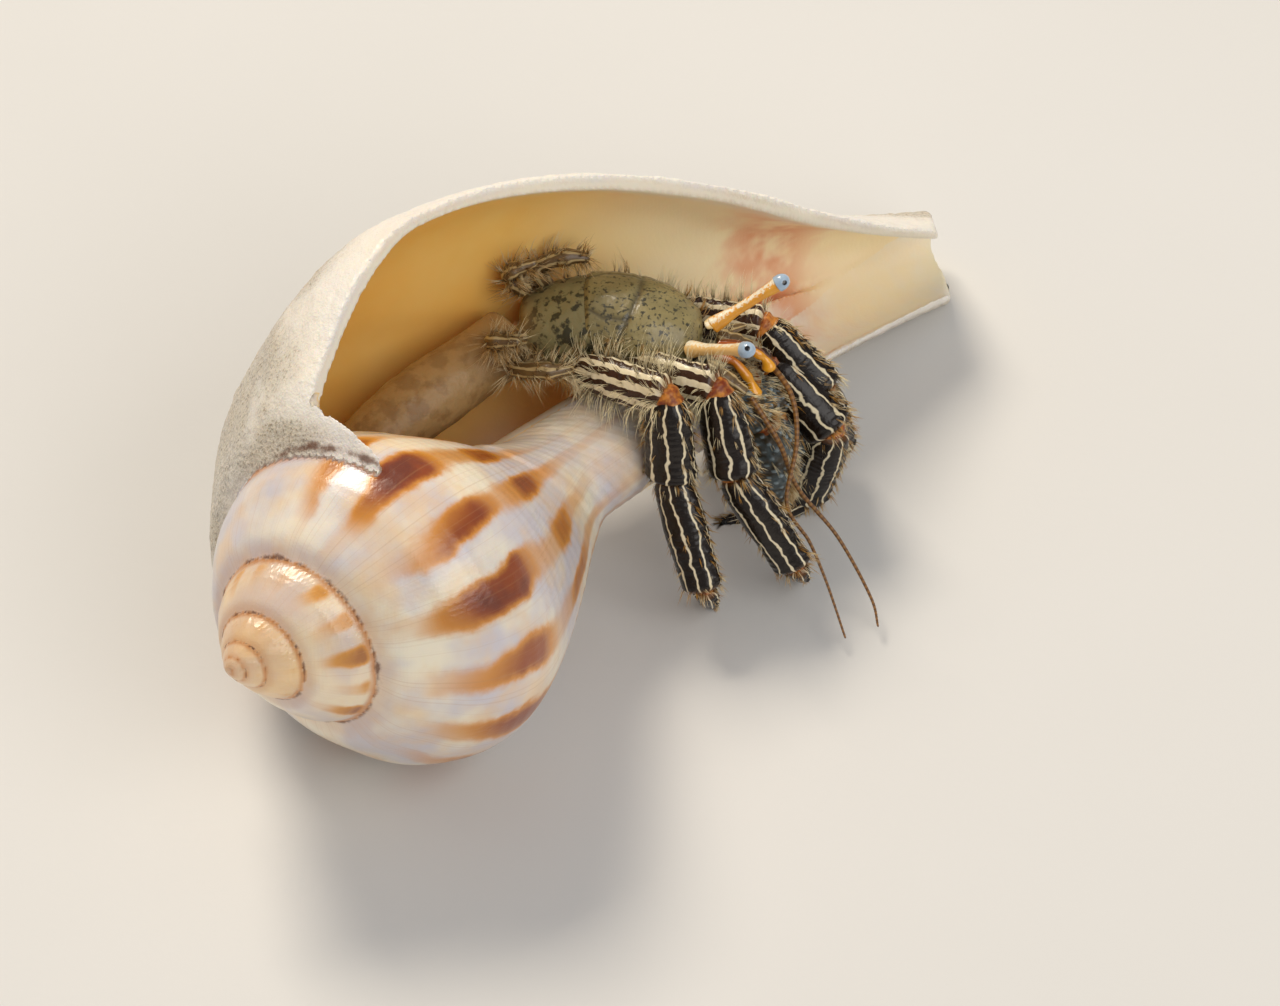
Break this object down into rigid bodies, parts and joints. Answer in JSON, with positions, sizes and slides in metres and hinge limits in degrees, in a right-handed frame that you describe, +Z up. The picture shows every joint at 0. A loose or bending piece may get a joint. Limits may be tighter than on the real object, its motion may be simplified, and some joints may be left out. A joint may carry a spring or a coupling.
{
  "type": "thinstripe hermit crab in a whelk shell",
  "caption": "Still, life-size hermit crab leaning out of the aperture of the worn spiral whelk shell it lives in, with its striped legs on the ground.",
  "frame": {"origin": "the middle of the model's box at the level it rests on", "axes": "+Z up, +X the way the crab faces, +Y away from the side that shows the shell's spire; the shell's axis runs level but for 12 degrees, from low X and low Y to high X and high Y"},
  "size_m": [0.068, 0.0747, 0.0442],
  "materials": {
    "shell": "glossy worn shell, cream and lilac-grey with broken chestnut-brown bands, orange inside the aperture",
    "carapace": "smooth olive-grey shield with dark spots, slightly wet",
    "leg": "black-brown horny cover with thin cream lines along each piece, hairy",
    "claw": "dark olive-brown with blue-grey tubercles and a fringe of cream hairs",
    "eyestalk": "smooth orange-yellow stalk with a paler top",
    "cornea": "glassy pale blue with a small dark spot",
    "feeler": "orange-brown, finely ringed",
    "flesh": "soft tan skin, slightly wet"
  },
  "bodies": {
    "root": {"shell": "shell", "carapace_shield": "carapace", "thorax": "flesh", "carapace_rear": "carapace", "abdomen_front": "flesh", "abdomen_middle": "flesh", "abdomen_rear": "flesh", "tail_fan": "flesh", "eyestalk_right": "eyestalk", "eye_right": "cornea", "eyestalk_left": "eyestalk", "eye_left": "cornea", "antennule_right": "feeler", "antennule_left": "feeler", "antenna_right_base": "feeler", "antenna_left_base": "feeler", "antenna_right": "feeler", "antenna_left": "feeler", "leg_2_right_merus": "leg", "leg_2_right_carpus": "leg", "leg_2_right_propodus": "leg", "leg_2_right_dactyl": "leg", "leg_3_right_merus": "leg", "leg_3_right_carpus": "leg", "leg_3_right_propodus": "leg", "leg_3_right_dactyl": "leg", "leg_2_left_merus": "leg", "leg_2_left_carpus": "leg", "leg_2_left_propodus": "leg", "leg_2_left_dactyl": "leg", "leg_3_left_merus": "leg", "leg_3_left_carpus": "leg", "leg_3_left_propodus": "leg", "leg_3_left_dactyl": "leg", "claw_right_merus": "claw", "claw_right_carpus": "claw", "claw_right_palm": "claw", "claw_right_finger": "claw", "claw_left_merus": "claw", "claw_left_carpus": "claw", "claw_left_palm": "claw", "claw_left_finger": "claw", "mouth_leg_right": "flesh", "mouth_leg_left": "flesh", "leg_4_right": "leg", "leg_5_right": "leg", "leg_4_left": "leg", "leg_5_left": "leg"}
  },
  "joints": []
}
